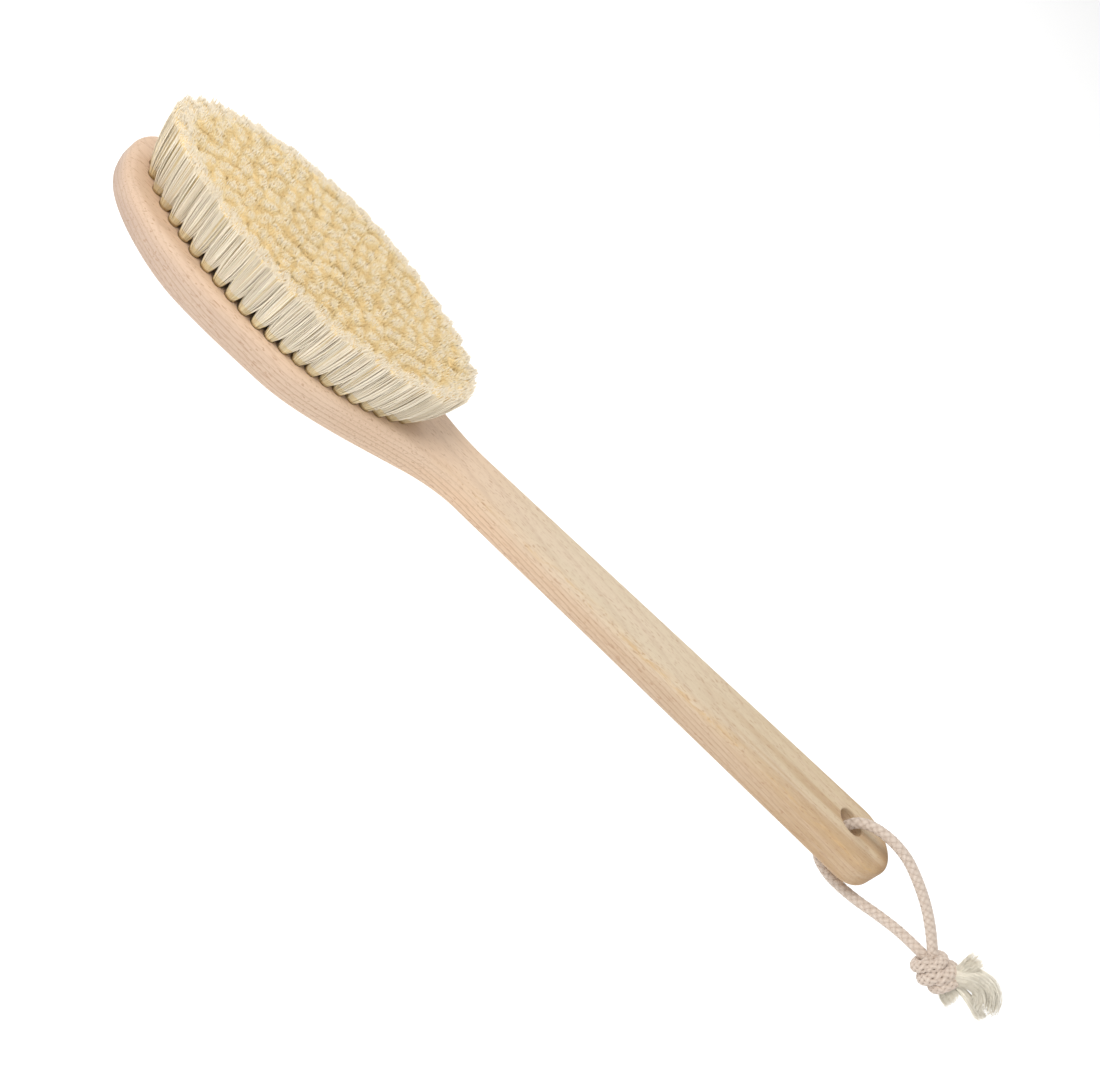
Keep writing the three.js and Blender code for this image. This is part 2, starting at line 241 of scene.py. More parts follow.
class Shading:
    """A Principled material and short calls that add nodes to it."""

    def __init__(self, name, roughness, **values):
        self.material = bpy.data.materials.new(name)
        self.material.use_nodes = True
        self.tree = self.material.node_tree
        self.shader = self.tree.nodes["Principled BSDF"]
        self.shader.inputs["Roughness"].default_value = roughness
        for key, value in values.items():
            self.shader.inputs[key.replace("_", " ")].default_value = value

    def add(self, kind, inputs=(), out=0, **props):
        node = self.tree.nodes.new("ShaderNode" + kind)
        for key, value in props.items():
            setattr(node, key, value)
        for socket, value in dict(inputs).items():
            if isinstance(value, bpy.types.NodeSocket):
                self.tree.links.new(value, node.inputs[socket])
            else:
                node.inputs[socket].default_value = value
        return node.outputs[out]

    def math(self, operation, *values):
        return self.add("Math", enumerate(values), operation=operation)

    def place(self):
        """Position in the row frame, in mm."""
        at = self.add("TexCoord", out="Object")
        return self.add("VectorMath", {0: at, "Scale": 1000.0}, operation="SCALE")

    def stretched(self, place, factors):
        return self.add("VectorMath", {0: place, 1: factors}, operation="MULTIPLY")

    def noise(self, place, scale, detail=2.0, roughness=0.5, distortion=0.0):
        values = {
            "Vector": place,
            "Scale": scale,
            "Detail": detail,
            "Roughness": roughness,
            "Distortion": distortion,
        }
        return self.add("TexNoise", values, out="Fac")

    def ramp(self, value, *stops):
        """A colour ramp; each stop is a position and a colour or a grey."""
        node = self.tree.nodes.new("ShaderNodeValToRGB")
        self.tree.links.new(value, node.inputs[0])
        marks = node.color_ramp.elements
        while len(marks) < len(stops):
            marks.new(0.5)
        for mark, (position, colour) in zip(marks, stops):
            mark.position = position
            grey = isinstance(colour, (int, float))
            mark.color = (colour, colour, colour, 1) if grey else (*colour, 1)
        return node.outputs[0]

    def mix(self, share, a, b):
        node = self.tree.nodes.new("ShaderNodeMix")
        node.data_type = "RGBA"
        for socket, value in zip((node.inputs[0], node.inputs[6], node.inputs[7]), (share, a, b)):
            if isinstance(value, bpy.types.NodeSocket):
                self.tree.links.new(value, socket)
            else:
                socket.default_value = (*value, 1) if isinstance(value, tuple) else value
        return node.outputs[2]

    def attribute(self, name):
        return self.add("Attribute", out="Fac", attribute_name=name)

    def fade(self, value, low, high):
        """0 below low, 1 above high and smooth between."""
        return self.add("MapRange", {0: value, 1: low, 2: high}, interpolation_type="SMOOTHSTEP")

    def use(self, socket, value):
        self.tree.links.new(value, self.shader.inputs[socket])

    def bump(self, height, distance, strength=1.0):
        values = {"Height": height, "Distance": distance * MM, "Strength": strength}
        self.use("Normal", self.add("Bump", values, out="Normal"))


def beech_material():
    """Steamed beech: close growth rings nearly level with the front face, fine pores drawn out
    along the grain and short brown ray flecks. It is pinkish on the head, torn golden along the
    front edge, and golden with darker streaks at the hanging end. Painted light makes the front
    face paler, most on the handle's front; the hanging end's round is much darker, partly end grain
    and partly painted shade."""
    s = Shading("beech", 0.58)
    place = s.place()
    x, y, z = (s.add("SeparateXYZ", {0: place}, out=i) for i in range(3))

    sway = s.noise(s.stretched(place, (0.35, 1, 1)), 0.018, 1.5)
    wander = s.math("MULTIPLY", s.math("SUBTRACT", sway, 0.5), 14.0)
    pith_y = s.math("ADD", s.math("ADD", y, PITH_BESIDE), wander)
    pith_z = s.math("ADD", z, PITH_BELOW)
    pith_z = s.math("ADD", pith_z, s.math("MULTIPLY", x, PITH_LEAN))
    squares = s.math("ADD", s.math("MULTIPLY", pith_y, pith_y), s.math("MULTIPLY", pith_z, pith_z))
    radius = s.math("SQRT", squares)
    uneven = s.math("MULTIPLY", s.noise(s.stretched(place, (0.02, 0.3, 0.3)), 0.35, 1.0), 2.2)
    ring = s.math("FRACT", s.math("DIVIDE", s.math("ADD", radius, uneven), RING_SPACING))
    late = s.ramp(ring, (0.0, 0.0), (0.62, 0.12), (0.9, 1.0), (1.0, 0.0))

    broad = s.noise(s.stretched(place, (0.05, 0.6, 0.6)), 0.12, 3.0)
    pores = s.noise(s.stretched(place, (0.2, 2.2, 2.2)), 1.1, 2.0, 0.6)
    pores = s.ramp(pores, (0.56, 0.0), (0.68, 1.0))
    flecks = s.noise(s.stretched(place, (0.45, 1.7, 1.7)), 0.95, 1.0, 0.4, 0.3)
    flecks = s.ramp(flecks, (0.63, 0.0), (0.7, 1.0))
    fibre = s.noise(s.stretched(place, (0.06, 1, 1)), 2.3, 3.0, 0.65)

    streaks = s.noise(s.stretched(place, (0.012, 0.35, 0.35)), 0.42, 2.0, 0.5, 0.4)
    end_grain_and_shade = s.fade(x, 314.0, 325.0)
    golden = s.fade(x, 190.0, 310.0)
    face = s.fade(z, 9.0, 16.0)
    neck = s.fade(x, 60.0, 150.0)
    share = s.add("MapRange", {0: x, 1: TIP_X - LENGTH, 2: TIP_X})
    wood = s.ramp(
        share,
        (0.0, (0.46, 0.34, 0.275)),
        (0.12, (0.55, 0.405, 0.31)),
        (0.42, (0.69, 0.475, 0.305)),
        (0.7, (0.465, 0.32, 0.19)),
        (1.0, (0.46, 0.315, 0.165)),
    )
    # Painted light: the front face is mixed towards a lighter peach, against the bristles' shade by
    # the nose and for light from above, and the handle's front further towards a pale beige to
    # gold.
    pale = s.mix(golden, (0.625, 0.515, 0.365), (0.55, 0.43, 0.265))
    wood = s.mix(s.math("MULTIPLY", face, 0.8), wood, (0.67, 0.475, 0.33))
    wood = s.mix(s.math("MULTIPLY", face, neck), wood, pale)
    wood = s.mix(s.ramp(broad, (0.4, 0.0), (0.7, 0.4)), wood, (0.70, 0.55, 0.42))
    lines = s.math("MULTIPLY", late, s.math("SUBTRACT", 0.62, s.math("MULTIPLY", face, 0.4)))
    wood = s.mix(lines, wood, (0.37, 0.225, 0.14))
    streaks = s.math("MULTIPLY", s.ramp(streaks, (0.44, 0.0), (0.56, 0.75)), golden)
    wood = s.mix(streaks, wood, (0.42, 0.26, 0.12))
    height = s.add("MapRange", {0: z, 1: 11.5, 2: 16.5})
    edge = s.ramp(height, (0.0, 0.0), (0.35, 0.2), (0.65, 1.0), (0.95, 0.25), (1.0, 0.0))
    torn = s.noise(s.stretched(place, (0.16, 0.9, 0.9)), 0.5, 4.0, 0.75, 0.5)
    torn = s.math("MULTIPLY", s.ramp(torn, (0.46, 0.0), (0.62, 0.75)), edge)
    wood = s.mix(s.math("MULTIPLY", torn, neck), wood, (0.55, 0.35, 0.15))
    wood = s.mix(s.math("MULTIPLY", pores, 0.38), wood, (0.38, 0.21, 0.12))
    wood = s.mix(s.math("MULTIPLY", flecks, 0.55), wood, (0.36, 0.19, 0.10))
    wood = s.mix(s.ramp(fibre, (0.35, 0.0), (0.75, 0.25)), wood, (0.74, 0.60, 0.46))
    # Partly end grain, partly painted shade: the hanging end's round, which faces away from the key
    # light, is mixed far towards dark brown.
    wood = s.mix(s.math("MULTIPLY", end_grain_and_shade, 0.9), wood, (0.35, 0.20, 0.085))
    s.use("Base Color", wood)
    s.use("Roughness", s.add("MapRange", {0: fibre, 3: 0.5, 4: 0.7}))
    relief = s.math("SUBTRACT", s.math("MULTIPLY", fibre, 0.7), s.math("MULTIPLY", pores, 0.9))
    s.bump(s.math("SUBTRACT", relief, s.math("MULTIPLY", late, 0.3)), 0.05, 0.7)
    return s.material


def shades(name, roughness, count, *stops):
    """Materials that step evenly through a colour ramp, for fibres that each take one shade at each
    place along them."""
    places, colours = zip(*stops)
    made = []
    for at in np.linspace(0, 1, count):
        colour = [float(np.interp(at, places, channel)) for channel in zip(*colours)]
        made.append(Shading(f"{name}_{len(made) + 1}", roughness, Base_Color=(*colour, 1)).material)
    return made


def cord_material():
    """Cotton yarn: twisted plies along each yarn, painted shade where its tone is low, on yarns
    dipping under others and along their edges, and random darker mottling.
    """
    s = Shading("cord_cotton", 0.88, Sheen_Weight=0.3)
    pale, shade = (0.67, 0.57, 0.49), (0.36, 0.26, 0.19)
    place = s.place()
    tone = s.attribute("tone")
    mottle = s.noise(place, 0.55, 3.0, 0.6)
    ply = s.math("SINE", s.math("MULTIPLY", s.attribute("ply"), 2 * math.pi))
    ply = s.math("ADD", s.math("MULTIPLY", ply, 0.5), 0.5)
    # Painted shade from the braid's tone, then random mottling towards the same dark colour.
    colour = s.mix(s.ramp(tone, (0.0, 1.0), (1.0, 0.0)), pale, shade)
    colour = s.mix(s.ramp(mottle, (0.42, 0.0), (0.72, 0.3)), colour, shade)
    s.use("Base Color", colour)
    fuzz = s.noise(place, 7.0, 2.0)
    s.bump(s.math("ADD", ply, s.math("MULTIPLY", fuzz, 0.8)), 0.09, 0.8)
    return s.material


def wire_material():
    """Plated flat wire, drawn lengthwise."""
    s = Shading("wire", 0.34, Metallic=1.0)
    drawn = s.noise(s.stretched(s.place(), (6, 0.4, 6)), 1.0, 3.0)
    s.use("Base Color", s.ramp(drawn, (0.3, (0.52, 0.50, 0.47)), (0.7, (0.74, 0.72, 0.68))))
    s.use("Roughness", s.add("MapRange", {0: drawn, 3: 0.25, 4: 0.45}))
    return s.material


def floor_material():
    s = Shading("pale_floor", 0.9, Emission_Color=(1, 1, 1, 1), Emission_Strength=0.2)
    s.use("Base Color", s.ramp(s.noise(s.place(), 0.002), (0.0, 0.94), (1.0, 0.96)))
    return s.material


beech = beech_material()
# Natural bristle ramp: brown for painted shade at the wood, golden for painted shade between the
# tips and inside the field, ivory on the outside.
bristle = shades(
    "bristle",
    0.6,
    9,
    (0.0, (0.42, 0.25, 0.11)),
    (0.25, (0.74, 0.52, 0.25)),
    (0.55, (0.86, 0.68, 0.36)),
    (0.85, (0.92, 0.79, 0.53)),
    (1.0, (0.94, 0.85, 0.69)),
)
cord_cotton = cord_material()
frayed_cotton = shades(
    "frayed_cotton",
    0.9,
    5,
    (0.0, (0.76, 0.68, 0.54)),
    (1.0, (0.92, 0.87, 0.76)),
)
wire = wire_material()

# --- Wooden body ----------------------------------------------------------------------------------


def half_width(x):
    nose = HEAD_WIDTH / 2 * (1 - np.clip(-x / NOSE, 0, 1) ** NOSE_POWER) ** (1 / NOSE_POWER)
    shoulder = lerp(HEAD_WIDTH / 2, NECK_WIDTH / 2, smooth(x, SHOULDER_X, NECK_X))
    straight_end = TIP_X - END_ROUND
    taper = np.clip((x - NECK_X) / (straight_end - NECK_X), 0, 1)
    into_end = np.clip((x - straight_end) / END_ROUND, 0, 1)
    handle = lerp(NECK_WIDTH / 2, END_WIDTH / 2, taper) * np.sqrt(1 - into_end**2)
    return np.where(x < 0, nose, np.where(x < NECK_X, shoulder, handle))


def depth(x):
    nose = lerp(FRONT, NOSE_DEPTH, smooth(-x, LAND_HALF, NOSE))
    neck = lerp(FRONT, NECK_DEPTH, smooth(x, LAND_HALF, NECK_X))
    handle = lerp(NECK_DEPTH, END_DEPTH, (x - NECK_X) / (TIP_X - NECK_X))
    return np.where(x < 0, nose, np.where(x < NECK_X, neck, handle))


def body_rings():
    """The plan outline moved in and down round the front edge, then round the back edge. Each ring
    runs from the nose along -Y and back along +Y."""
    quarter = np.linspace(0, math.pi / 2, 41)
    stations = np.concatenate(
        [
            -NOSE * np.cos(quarter[:-1]) ** (2 / NOSE_POWER),
            np.linspace(0, NECK_X, 61)[:-1],
            np.linspace(NECK_X, TIP_X - END_ROUND, 41)[:-1],
            TIP_X - END_ROUND + END_ROUND * np.sin(quarter),
        ]
    )
    side = np.stack([stations, half_width(stations)], -1)
    outline = np.concatenate([side * [1, -1], side[-2:0:-1]])
    along = unit(np.roll(outline, -1, axis=0) - np.roll(outline, 1, axis=0))
    inward = np.stack([-along[:, 1], along[:, 0]], -1)
    belly = BACK_ROUND + BELLY_ROUND * smooth(-np.abs(outline[:, 0]), -NOSE, -LAND_HALF)

    def ring(turn, front, flat=0.0):
        radius = FRONT_ROUND if front else belly
        inset = radius * (1 - math.sin(turn)) + flat
        drop = radius * (1 - math.cos(turn))
        at = outline + inward * np.broadcast_to(inset, len(outline))[:, None]
        z = FRONT - drop if front else FRONT - depth(at[:, 0]) + drop
        return np.column_stack([at, np.broadcast_to(z, len(outline))])

    turns = np.linspace(0, math.pi / 2, 10)
    rings = [ring(0, False, 0.7), *(ring(t, False) for t in turns)]
    rings += [*(ring(t, True) for t in turns[::-1]), ring(0, True, 0.7)]
    return np.array(rings)


def body_mesh():
    rings = body_rings()
    levels, count = rings.shape[:2]
    index = np.arange(levels * count).reshape(levels, count)
    after = np.roll(index, -1, axis=1)
    walls = np.stack([index[:-1], after[:-1], after[1:], index[1:]], -1).reshape(-1, 4)
    last = count // 2
    near = np.arange(1, last - 1)
    far = count - near
    back, front = index[0], index[-1]
    strips = [np.stack([back[near], back[far], back[far - 1], back[near + 1]], -1)]
    strips.append(np.stack([front[near], front[near + 1], front[far - 1], front[far]], -1))
    ends = np.array([[0, -1, 1], [last, last - 1, last + 1]])
    fans = np.concatenate([back[ends], front[ends][:, ::-1]])
    return make_mesh("beech_head_and_handle", rings.reshape(-1, 3), [walls, *strips, fans], [beech])


def half_ring(shares):
    """Places along one half of the outer ring of tufts, nose to neck, evenly by length."""
    t = np.linspace(0, math.pi, 721)
    c = np.cos(t)
    x = -RING_HALF[0] * np.sign(c) * np.abs(c) ** (2 / RING_POWER)
    y = RING_HALF[1] * np.maximum(np.sin(t), 0) ** (2 / RING_POWER)
    along = np.concatenate([[0], np.cumsum(np.hypot(np.diff(x), np.diff(y)))])
    at = np.asarray(shares) * along[-1]
    return np.stack([np.interp(at, along, x), np.interp(at, along, y)], -1)


def rows_of_tufts():
    """Each row's tufts, as places on the front face."""
    rows = []
    for k in range(ROWS):
        outer_x, outer_y = half_ring((k + 2) / (RING_TUFTS / 2))
        middle_x = lerp(-RING_HALF[0], RING_HALF[0], k / (ROWS - 1))
        from_end = min(k, ROWS - 1 - k)
        count = round(2 * outer_y / TUFT_PITCH) + 1
        if from_end < len(END_ROW_COUNTS):
            count = END_ROW_COUNTS[from_end]
        y = np.linspace(-outer_y, outer_y, count)
        rows.append(np.stack([lerp(middle_x, outer_x, (y / outer_y) ** 2), y], -1))
    return rows


def splayed(places, share):
    """Where the splayed field carries places on the front face, at a share of BRISTLE."""
    share = np.asarray(share, float)
    grow = [1 + (TIP_HALF[i] / RING_HALF[i] - 1) * share for i in (0, 1)]
    x = places[..., 0] * grow[0] + TIP_SHIFT * share
    y = places[..., 1] * grow[1]
    return np.stack([x, y, np.broadcast_to(FRONT + BRISTLE * share, x.shape)], -1)


def hole_cutters(rows):
    """One solid per tuft hole, each with a broken edge at the front face, and the hanging hole with
    its rounded-over rims."""
    places = np.concatenate(rows)
    heights = np.array([-HOLE_DEPTH, -HOLE_CHAMFER, CUT_PAST])
    radii = HOLE_RADIUS + np.array([0, 0, HOLE_CHAMFER + CUT_PAST])
    paths = splayed(places[:, None], heights / BRISTLE)
    holes = tubes(paths, radii, radii, 20, level_frames(paths))

    back = FRONT - float(depth(np.array(HANG_X)))
    turn = np.linspace(0, math.pi / 2, 9)
    rim_z = HANG_FLARE * (1 - np.sin(turn))
    rim_r = HANG_RADIUS + HANG_FLARE * (1 - np.cos(turn))
    z = np.concatenate([[back - 1], back + rim_z[::-1], FRONT - rim_z, [FRONT + 1]])
    r = np.concatenate([rim_r[-1:], rim_r[::-1], rim_r, rim_r[-1:]])
    path = np.stack([np.full(len(z), HANG_X), np.zeros(len(z)), z], -1)[None]
    points, faces = merged([holes, tubes(path, r, r, 72, level_frames(path))])
    return make_mesh("hole_cutters", points, faces, [beech])


def carve(body, cutters):
    """Cuts the holes, then marks the edges that stay crisp."""
    cut = body.modifiers.new("holes", "BOOLEAN")
    cut.object = cutters
    cut.solver = "MANIFOLD"
    bpy.context.view_layer.update()
    graph = bpy.context.evaluated_depsgraph_get()
    mesh = bpy.data.meshes.new_from_object(body.evaluated_get(graph), depsgraph=graph)
    body.modifiers.clear()
    body.data = mesh
    bpy.data.objects.remove(cutters)
    mesh.polygons.foreach_set("use_smooth", np.ones(len(mesh.polygons), bool))
    mesh.set_sharp_from_angle(angle=math.radians(28))
    mesh.update()


rows = rows_of_tufts()
body = body_mesh()
carve(body, hole_cutters(rows))
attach(body, "brush")
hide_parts("beech_body")

# --- Bristles -------------------------------------------------------------------------------------


def tuft_row(name, places):
    """One row of tufts. A tuft's bristles leave its hole as a round bundle, spread into a squared
    top that meets the next tufts, and lean together into two clumps there, each a little domed. A
    closed core stands for the bristles packed inside."""
    tufts, count = len(places), BRISTLES_PER_TUFT
    turn = np.arange(count) * math.pi * (3 - math.sqrt(5)) + rng.uniform(0, ANY_TURN, (tufts, 1))
    out = ((np.arange(count) + 0.5) / count) ** CROWDING
    out = out * rng.uniform(0.93, 1.03, (tufts, count))
    disc = np.stack([out * np.cos(turn), out * np.sin(turn)], -1)

    clump_turn = rng.uniform(0, ANY_TURN, (tufts, 1)) + np.arange(2) * math.pi
    clump_turn = clump_turn + rng.uniform(-0.5, 0.5, clump_turn.shape)
    clump_out = rng.uniform(0.2, 0.55, clump_turn.shape)
    clumps = np.stack([np.cos(clump_turn), np.sin(clump_turn)], -1) * clump_out[..., None]
    gaps = np.linalg.norm(disc[:, :, None] - clumps[:, None], axis=-1)
    nearest = gaps.argmin(-1)
    gap = gaps.min(-1)
    centre = np.take_along_axis(clumps, nearest[..., None], 1)
    tall = np.take_along_axis(rng.uniform(-0.4, 0.4, clump_turn.shape), nearest, 1)
    top = lerp(disc, centre, CLUMP_PULL) + rng.normal(0, 0.05, disc.shape)

    # How far each tip stands over BRISTLE: the clumps differ, and they and the tuft are domed.
    length = 0.2 + tall - 0.9 * gap**2 - 0.45 * out**4 + rng.normal(0, 0.16, out.shape)
    steps = np.array([-0.06, 0.04, 0.16, 0.36, 0.62, 0.85, 0.96, 1.0])
    share = steps * (1 + length[..., None] / BRISTLE * (steps > 0))
    flare = np.where(steps > 0, 1 - (1 - np.clip(steps, 0, 1)) ** FLARE_POWER, 0)
    middle = splayed(places[:, None, None], share)
    mouth = disc * TUFT_MOUTH
    squared = np.linalg.norm(top, axis=-1, keepdims=True) / np.abs(top).max(-1, keepdims=True)
    at_end = smooth(abs(places[:, 0].mean()), 46, 58)
    tip_half = np.array(TUFT_TIP) * lerp(1, END_TUFT_GROWTH, at_end)
    tip = top * squared * tip_half
    wave = rng.normal(0, WAVE, (tufts, count, 1, 2)) * np.sin(steps * math.pi)[:, None]
    offset = lerp(mouth[:, :, None], tip[:, :, None], flare[:, None]) + wave * (steps > 0)[:, None]
    paths = middle.copy()
    paths[..., :2] += offset
    paths = paths.reshape(-1, len(steps), 3)

    thin = BRISTLE_RADIUS * np.array([0.9, 0.9, 1, 1.15, 1.25, 1.25, 1.1, 0.6])
    thick = thin * rng.uniform(0.85, 1.15, (len(paths), 1))
    bristles = tubes(paths, thick, thick, FIBRE_SIDES)

    # Painted shade: bristles inside the field have darker shafts than those at its rim, tips
    # between the clumps are darker gold, and every bristle is brown at the wood.
    reach = (np.abs(paths[:, -1, :2] / TIP_HALF) ** RIM_POWER).sum(-1) ** (1 / RIM_POWER)
    rim = smooth(reach, 0.9, 1.02)[:, None]
    crown = smooth(steps, 0.8, 1.0)
    between = smooth(gap, 0.3, 0.75).reshape(-1, 1)
    shaft = lerp(0.62, 0.97, rim)
    head = lerp(lerp(0.9, 0.97, rim), 0.5, between * (1 - rim))
    root_shade = lerp(0.3, 1.0, smooth(steps, -0.02, 0.13))
    tone = lerp(shaft, head, crown) + rng.normal(0, 0.045, (len(paths), 1))
    tone = tone * root_shade

    # The core carries the same painted shade: darker than the rim's bristles, darker gold at its
    # top and brown at the wood.
    core_paths = splayed(places[:, None], steps * CORE_HEIGHT)
    halves = [lerp(TUFT_MOUTH, half, flare) * CORE_WIDTH for half in tip_half]
    cores = tubes(core_paths, *halves, CORE_SIDES, level_frames(core_paths))
    core_shade = np.broadcast_to(lerp(0.8, 0.5, crown) * root_shade, (tufts, len(steps)))
    shade = np.concatenate([face_shades(tone, FIBRE_SIDES), face_shades(core_shade, CORE_SIDES)])
    return make_mesh(name, *merged([bristles, cores]), bristle, shade=shade)


for k, places in enumerate(rows):
    number = f"{k + 1:02d}"
    tufts = tuft_row("bristles_row_" + number, places)
    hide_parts("tuft_row_" + number)
    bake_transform(tufts)

# --- Cord -----------------------------------------------------------------------------------------


def hung(points):
    """Points of the cord's own frame, (out from the hole's axis, across, height over the front), in
    the row frame."""
    p = np.asarray(points, float)
    c, s = math.cos(CORD_TURN), math.sin(CORD_TURN)
    x = HANG_X + p[..., 0] * c - p[..., 1] * s
    y = p[..., 0] * s + p[..., 1] * c
    return np.stack([x, y, FRONT + p[..., 2]], -1)


def flat_points(pairs):
    """Points of the cord's own frame from their distance out and height."""
    return [(out, 0, height) for out, height in pairs]


def braid(path, radius, lay=12.0, carriers=8):
    """A round plain braid of flattened yarns round a core, along an evenly spaced path. lay is the
    length in which a yarn goes once round. Returns points, faces, and each point's tone, which
    carries painted shade, and ply."""
    along = np.concatenate([[0], np.cumsum(np.linalg.norm(np.diff(path, axis=0), axis=1))])
    u, v = (f[0] for f in turned_frames(path[None]))
    half = carriers // 2
    middle = radius - YARN_HALF_THICK - 0.12
    girth = 2 * math.pi * middle
    yarn_half = YARN_COVER * girth / half * math.cos(math.atan(girth / lay))
    weave = WEAVE * np.cos(2 * math.pi * half * along / lay)
    yarns, outward, across = [], [], []
    for way in (1, -1):
        for c in range(half):
            turn = way * 2 * math.pi * along / lay + 2 * math.pi * c / half
            normal = u * np.cos(turn)[:, None] + v * np.sin(turn)[:, None]
            yarn = path + normal * (middle + way * weave)[:, None]
            tangent = unit(np.gradient(yarn, axis=0))
            normal = unit(normal - (normal * tangent).sum(-1, keepdims=True) * tangent)
            yarns.append(yarn)
            outward.append(normal)
            across.append(np.cross(tangent, normal))
    frames = (np.array(outward), np.array(across))
    woven = tubes(np.array(yarns), YARN_HALF_THICK, yarn_half, YARN_SIDES, frames)
    core = tubes(path[None], middle - 0.25, middle - 0.25, 10)
    # Painted shade: a yarn is darker where it dips under the others and along its edges, where the
    # yarns meet.
    lift = np.sign(weave) * np.abs(weave / WEAVE) ** 0.7
    over = np.array([0.5 + 0.5 * way * lift for way in (1, -1) for _ in range(half)])
    edge = np.abs(np.sin(np.arange(YARN_SIDES) * 2 * math.pi / YARN_SIDES))
    tone = 0.35 + 0.65 * over[..., None] * (1 - 0.55 * edge) + 0.12 * (1 - edge)
    slant = np.arange(YARN_SIDES) / YARN_SIDES
    ply = along[None, :, None] / PLY_LENGTH + slant + np.arange(carriers)[:, None, None] * 0.37
    # The core is given tone 0, the full painted shade, and no ply.
    blank = np.zeros(len(core[0]))
    numbers = [np.concatenate([values.ravel(), blank]) for values in (tone, ply)]
    return *merged([woven, core]), *numbers


def cord_piece(name, braids):
    points, faces = merged([b[:2] for b in braids])
    tone = np.clip(np.concatenate([b[2] for b in braids]), 0, 1)
    ply = np.concatenate([b[3] for b in braids])
    obj = make_mesh(name, points, faces, [cord_cotton], {"tone": tone, "ply": ply})
    return obj


# The loop in its own plane: out from the hole's axis and height over the front face.
LOOP = [
    (66, -8),
    (61, -7),
    (56.5, -4.2),
    (50, -0.2),
    (42, 3.8),
    (33, 7),
    (24, 9.1),
    (16, 9),
    (9, 7.2),
    (4, 4.4),
    (0.8, 0),
    (0, -7.7),
    (0.8, -15.4),
    (4, -20),
    (10.5, -21.6),
    (18, -21),
    (27, -18.6),
    (36, -15.3),
    (46, -12.2),
    (56.5, -10.2),
    (61, -9.6),
    (66, -10),
]
loop_braid = braid(hung(smooth_path(flat_points(LOOP), 0.5)), CORD_RADIUS)
loop = cord_piece("braided_cord_loop", [loop_braid])
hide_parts("hanging_cord")
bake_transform(loop)


def knot_wrap(shift, start, turns, reach):
    """One band of the knot: out from its middle, round it on a slant and back in."""
    t = np.linspace(0, 1, 60)
    turn = start + turns * 2 * math.pi * t
    far = reach * np.minimum(1, np.sin(math.pi * t) * 2.4) + 0.4
    along = lerp(-1, 1, t) + shift + SLANT * np.sin(turn) * far / reach
    place = np.stack([along, far * np.cos(turn), far * np.sin(turn)], -1)
    return smooth_path(place + KNOT, 0.5)


# Three bands, then the cords inside them; each with its braid's radius.
wraps = [
    (knot_wrap(-4.8, 2.2, 1.25, 4.4), 2.6),
    (knot_wrap(0.5, 1.9, 1.3, 5.0), 2.9),
    (knot_wrap(4.7, 4.6, 1.2, 4.0), 2.5),
    (np.linspace((-7, 0, 0.4), (7, 0, 0), 30) + KNOT, 3.8),
]
knot_braids = [braid(hung(path), radius, 13, 12) for path, radius in wraps]
knot = cord_piece("overhand_knot", knot_braids)
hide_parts("cord_knot")
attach(knot, "tassel")


def frayed(name, centre, count, spread, shortest, curl):
    """Loose fibres that follow a curve and part from each other along it. spread holds the half
    sizes at the end, across the cord's plane and in it, shortest is the shortest fibre's share of
    the curve, and curl how far the fibres wander."""
    line = smooth_path(flat_points(centre), 0.4)
    steps = np.linspace(0, 1, 14)
    ends = rng.uniform(shortest, 1.0, count)
    at = ends[:, None] * steps * (len(line) - 1)
    low = np.clip(at.astype(int), 0, len(line) - 2)
    middle = line[low] + (line[low + 1] - line[low]) * (at - low)[..., None]
    ahead = unit(line[low + 1] - line[low])
    side = np.stack([-ahead[..., 2], np.zeros_like(at), ahead[..., 0]], -1)
    turn = rng.uniform(0, 2 * math.pi, count)
    out = np.sqrt(rng.uniform(0, 1, count))
    distance = ends[:, None] * steps
    grow = lerp(ROOT_SHARE, 1.0, distance**0.8)
    waves = 0
    for n in (1, 2, 4):
        size = rng.normal(0, curl / n, (count, 1, 2))
        start = rng.uniform(0, ANY_TURN, (count, 1, 2))
        waves = waves + size * np.sin(steps[:, None] * n * 3.1 + start) * distance[..., None]
    across = out[:, None] * np.cos(turn)[:, None] * spread[0] * grow + waves[..., 0]
    within = out[:, None] * np.sin(turn)[:, None] * spread[1] * grow + waves[..., 1]
    paths = middle + side * within[..., None]
    paths[..., 1] += across
    thin = FIBRE_RADIUS * np.linspace(1.15, 0.6, len(steps)) * rng.uniform(0.8, 1.3, (count, 1))
    points, faces = tubes(hung(paths), thin, thin, FIBRE_SIDES)
    # Painted shade: fibres nearer the middle of a frayed end are darker; each also grows a little
    # paler to its free end.
    tone = 0.4 + 0.5 * out[:, None] + 0.1 * steps + rng.normal(0, 0.15, (count, 1))
    obj = make_mesh(name, points, faces, frayed_cotton, shade=face_shades(tone, FIBRE_SIDES))
    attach(obj, "tassel")
    return obj


large_end = [(71, -6.5), (74, -1.6), (78, 1.8), (82, 2.4), (85.5, 0), (88, -4.4)]
large = frayed("frayed_end_large", large_end, 2000, (4.6, 5.8), 0.4, 0.7)
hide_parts("cord_end_fluffed")
upper_end = [(71, -6), (71.5, -1), (71, 4), (70.5, 8)]
frayed("frayed_end_upper", upper_end, 420, (3.0, 3.6), 0.6, 0.4)
narrow_end = [(75, -6.4), (80.5, -5.8), (86, -6), (92, -6.4)]
narrow = frayed("frayed_end_narrow", narrow_end, 280, (1.7, 2.3), 0.7, 0.3)
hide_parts("cord_end_frayed")
short_end = [(71, -9.5), (74, -10.8), (77, -11.6), (80.2, -11.2)]
frayed("frayed_end_short", short_end, 560, (3.6, 4.6), 0.6, 0.4)

# --- Anchors, floor, light and camera -------------------------------------------------------------

for name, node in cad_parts.items():
    if name.startswith("anchor_"):
        for slot in node.material_slots:
            slot.material = wire

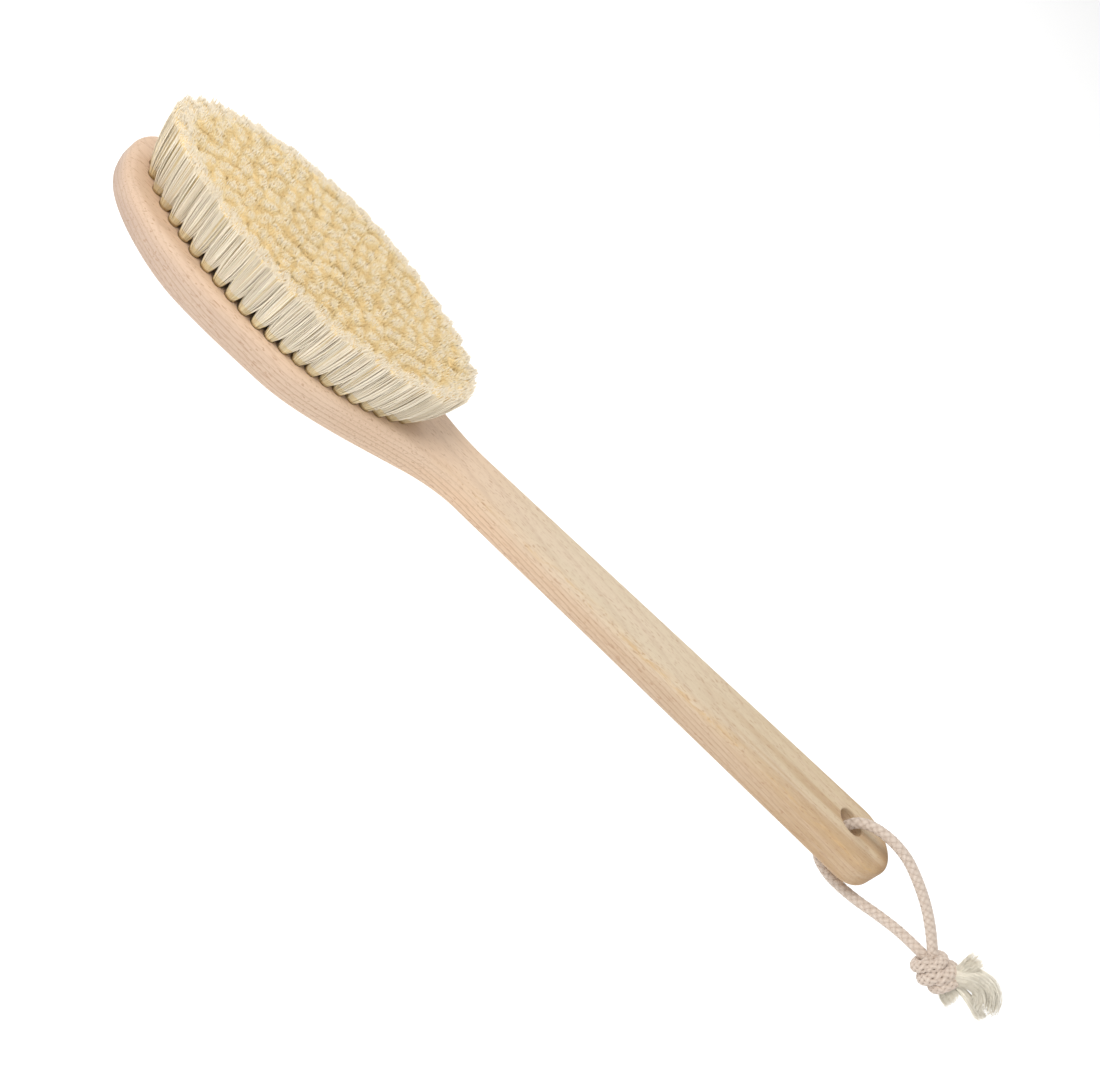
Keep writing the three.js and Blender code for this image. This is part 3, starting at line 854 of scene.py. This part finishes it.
# From here on sizes are in metres. The brush is shown held clear of a very wide floor.
FLOOR_HALF, FLOOR_DROP = 30, 0.2
floor_mesh = bpy.data.meshes.new("floor")
square = ((-1, -1), (1, -1), (1, 1), (-1, 1))
floor_corners = [(x * FLOOR_HALF, y * FLOOR_HALF, 0) for x, y in square]
floor_mesh.from_pydata(floor_corners, [], [(0, 1, 2, 3)])
floor = bpy.data.objects.new("floor", floor_mesh)
floor.location.z = cad_box[0].z - FLOOR_DROP
floor_mesh.materials.append(floor_material())
bpy.context.scene.collection.objects.link(floor)

world = bpy.data.worlds.new("studio")
world.use_nodes = True
world.node_tree.nodes["Background"].inputs["Color"].default_value = (1, 1, 1, 1)
world.node_tree.nodes["Background"].inputs["Strength"].default_value = 0.66
bpy.context.scene.world = world
bpy.context.scene.view_settings.view_transform = "Standard"


def soft_lamp(name, place, aim, size, power, colour=(1, 1, 1)):
    data = bpy.data.lights.new(name, "AREA")
    data.shape = "DISK"
    data.size = size
    data.energy = power
    data.color = colour
    lamp = bpy.data.objects.new(name, data)
    lamp.location = place
    lamp.rotation_euler = (Vector(aim) - Vector(place)).to_track_quat("-Z", "Y").to_euler()
    bpy.context.scene.collection.objects.link(lamp)


MIDDLE = (0.11, 0, 0.01)
soft_lamp("key", (-1.0, -0.8, 1.5), MIDDLE, 1.0, 24, (1.0, 0.985, 0.96))
soft_lamp("fill", (0.9, -1.4, 0.8), MIDDLE, 1.4, 3)
soft_lamp("back", (0.0, 1.6, 1.2), MIDDLE, 1.2, 8)

# The camera's place round the brush, then where the brush sits in the picture.
AZIMUTH, ELEVATION, ROLL = (math.radians(a) for a in (-20.65, 28.36, -53.16))
DISTANCE = 1.0
AIM = (0.11, 0, 0)
SENSOR = 36  # mm
PICTURE_ASPECT = 1081 / 1100
FRAME_WIDTH_AT_AIM = 0.400641  # metres of the picture's width at the aim point
AIM_IN_PICTURE = (0.430818, 0.473)  # where the aim point falls, in picture widths

towards = Vector(
    (
        math.sin(AZIMUTH) * math.cos(ELEVATION),
        -math.cos(AZIMUTH) * math.cos(ELEVATION),
        math.sin(ELEVATION),
    )
)
level_right = Vector((math.cos(AZIMUTH), math.sin(AZIMUTH), 0))
level_up = towards.cross(level_right)
right = math.cos(ROLL) * level_right - math.sin(ROLL) * level_up
up = math.sin(ROLL) * level_right + math.cos(ROLL) * level_up
lens = bpy.data.cameras.new("camera")
lens.sensor_width = SENSOR
lens.lens = SENSOR * DISTANCE / FRAME_WIDTH_AT_AIM
lens.shift_x = 0.5 - AIM_IN_PICTURE[0]
lens.shift_y = AIM_IN_PICTURE[1] - PICTURE_ASPECT / 2
lens.clip_end = 100
camera = bpy.data.objects.new("camera", lens)
turn = Matrix((right, up, towards)).transposed().to_4x4()
camera.matrix_world = Matrix.Translation(Vector(AIM) + towards * DISTANCE) @ turn
bpy.context.scene.collection.objects.link(camera)
bpy.context.scene.camera = camera
